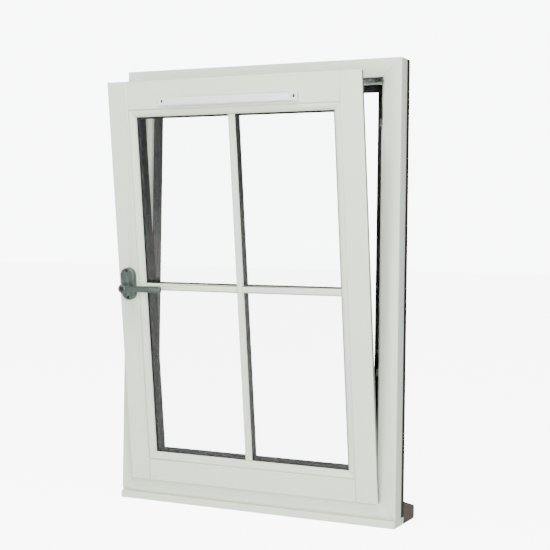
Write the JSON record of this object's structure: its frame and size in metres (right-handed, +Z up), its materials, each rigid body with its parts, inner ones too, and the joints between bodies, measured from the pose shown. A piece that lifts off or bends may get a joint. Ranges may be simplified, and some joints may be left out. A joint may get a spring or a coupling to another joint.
{
  "type": "tilt and turn window",
  "caption": "Tilt-and-turn window: wood frame with outer cladding, barred double-glazed sash leaning inward, lockable lever handle, trickle vent and outer sill.",
  "frame": {"origin": "middle of the bottom face, in the plane of the frame's room face", "axes": "+X to the right seen from the room, +Y outdoors, +Z up"},
  "size_m": [0.748, 0.2983, 1.1],
  "materials": {
    "white_paint": "satin white paint on wood",
    "dark_cladding": "dark brown matt coating",
    "sill_brown": "brown stain",
    "black_rubber": "matt",
    "zinc_plate": "zinc plated",
    "satin_zinc": "satin grey zinc casting",
    "black_steel": "black",
    "clear_glass": "clear",
    "spacer_black": "matt",
    "white_plastic": "satin"
  },
  "bodies": {
    "frame": {"frame_head": "white_paint", "frame_left_jamb": "white_paint", "frame_right_jamb": "white_paint", "frame_bottom_rail": "white_paint", "base_strip": "white_paint", "cladding_head": "dark_cladding", "cladding_left_jamb": "dark_cladding", "cladding_right_jamb": "dark_cladding", "cladding_bottom_rail": "dark_cladding", "outer_sill": "sill_brown", "frame_gasket": "black_rubber", "tilt_keep": "zinc_plate", "left_keep_middle": "zinc_plate", "left_keep_upper": "zinc_plate", "right_keep_middle": "zinc_plate", "right_keep_upper": "zinc_plate", "head_keep": "zinc_plate", "lower_hinge_bracket": "zinc_plate", "upper_hinge_bracket": "zinc_plate"},
    "hinge_carrier": {"hinge_carrier": "zinc_plate"},
    "stay_arm": {"stay_arm": "zinc_plate"},
    "sash": {"sash_left_stile": "white_paint", "sash_right_stile": "white_paint", "sash_top_rail": "white_paint", "sash_bottom_rail": "white_paint", "sash_cladding_left": "dark_cladding", "sash_cladding_right": "dark_cladding", "sash_cladding_bottom": "dark_cladding", "sash_cladding_top": "dark_cladding", "glazing_bead_left": "white_paint", "glazing_bead_right": "white_paint", "glazing_bead_top": "white_paint", "glazing_bead_bottom": "white_paint", "inner_pane": "clear_glass", "outer_pane": "clear_glass", "glass_spacer": "spacer_black", "glazing_seal": "black_rubber", "inner_vertical_bar": "white_paint", "inner_horizontal_bar": "white_paint", "outer_vertical_bar": "dark_cladding", "outer_horizontal_bar": "dark_cladding", "faceplate_left": "zinc_plate", "faceplate_right": "zinc_plate", "faceplate_top": "zinc_plate", "gearbox_case": "zinc_plate", "handle_rosette": "satin_zinc", "rosette_screw_top": "black_steel", "rosette_screw_bottom": "black_steel", "vent_base": "white_plastic", "vent_screw_left": "black_steel", "vent_screw_right": "black_steel"},
    "handle": {"lever_handle": "satin_zinc", "handle_spindle": "zinc_plate", "gearbox_hub": "zinc_plate"},
    "key_cylinder": {"key_cylinder": "black_steel"},
    "drive_rod_left": {"drive_rod_left": "zinc_plate"},
    "drive_rod_right": {"drive_rod_right": "zinc_plate"},
    "drive_rod_top": {"drive_rod_top": "zinc_plate"},
    "vent_flap": {"vent_flap": "white_plastic"}
  },
  "joints": [
    {"name": "turn", "type": "hinge", "parent": "frame", "child": "hinge_carrier", "pos_m": [0.3292, -0.009, 0.072], "axis": [0, 0, 1], "range_deg": [0, 90]},
    {"name": "tilt", "type": "hinge", "parent": "hinge_carrier", "child": "sash", "pos_m": [0.3292, -0.009, 0.072], "axis": [1, 0, 0], "range_deg": [-8.2, 0]},
    {"name": "stay_swing", "type": "hinge", "parent": "hinge_carrier", "child": "stay_arm", "pos_m": [0.3292, -0.009, 1.04645], "axis": [0, 0, 1], "range_deg": [-22.96, 0]},
    {"name": "handle_turn", "type": "hinge", "parent": "sash", "child": "handle", "pos_m": [-0.305, -0.08468, 0.54807], "axis": [0, -0.9898, -0.1426], "range_deg": [-90, 90]},
    {"name": "key_turn", "type": "hinge", "parent": "handle", "child": "key_cylinder", "pos_m": [-0.305, -0.08468, 0.54807], "axis": [0, -0.9898, -0.1426], "range_deg": [0, 90]},
    {"name": "left_rod_slide", "type": "slide", "parent": "sash", "child": "drive_rod_left", "axis": [0, -0.1426, 0.9898], "range_m": [-0.016, 0.016]},
    {"name": "right_rod_slide", "type": "slide", "parent": "sash", "child": "drive_rod_right", "axis": [0, -0.1426, 0.9898], "range_m": [-0.016, 0.016]},
    {"name": "top_rod_slide", "type": "slide", "parent": "sash", "child": "drive_rod_top", "axis": [1, 0, 0], "range_m": [-0.016, 0.016]},
    {"name": "vent_flap_swing", "type": "hinge", "parent": "sash", "child": "vent_flap", "pos_m": [-0.003, -0.15912, 1.00508], "axis": [-1, 0, 0], "range_deg": [0, 35]}
  ],
  "couplings": [
    {"joint": "stay_swing", "follows": "tilt", "ratio": 2.8},
    {"joint": "left_rod_slide", "follows": "handle_turn", "m_per_rad": 0.010185},
    {"joint": "right_rod_slide", "follows": "handle_turn", "m_per_rad": 0.010185},
    {"joint": "top_rod_slide", "follows": "handle_turn", "m_per_rad": 0.010185}
  ]
}
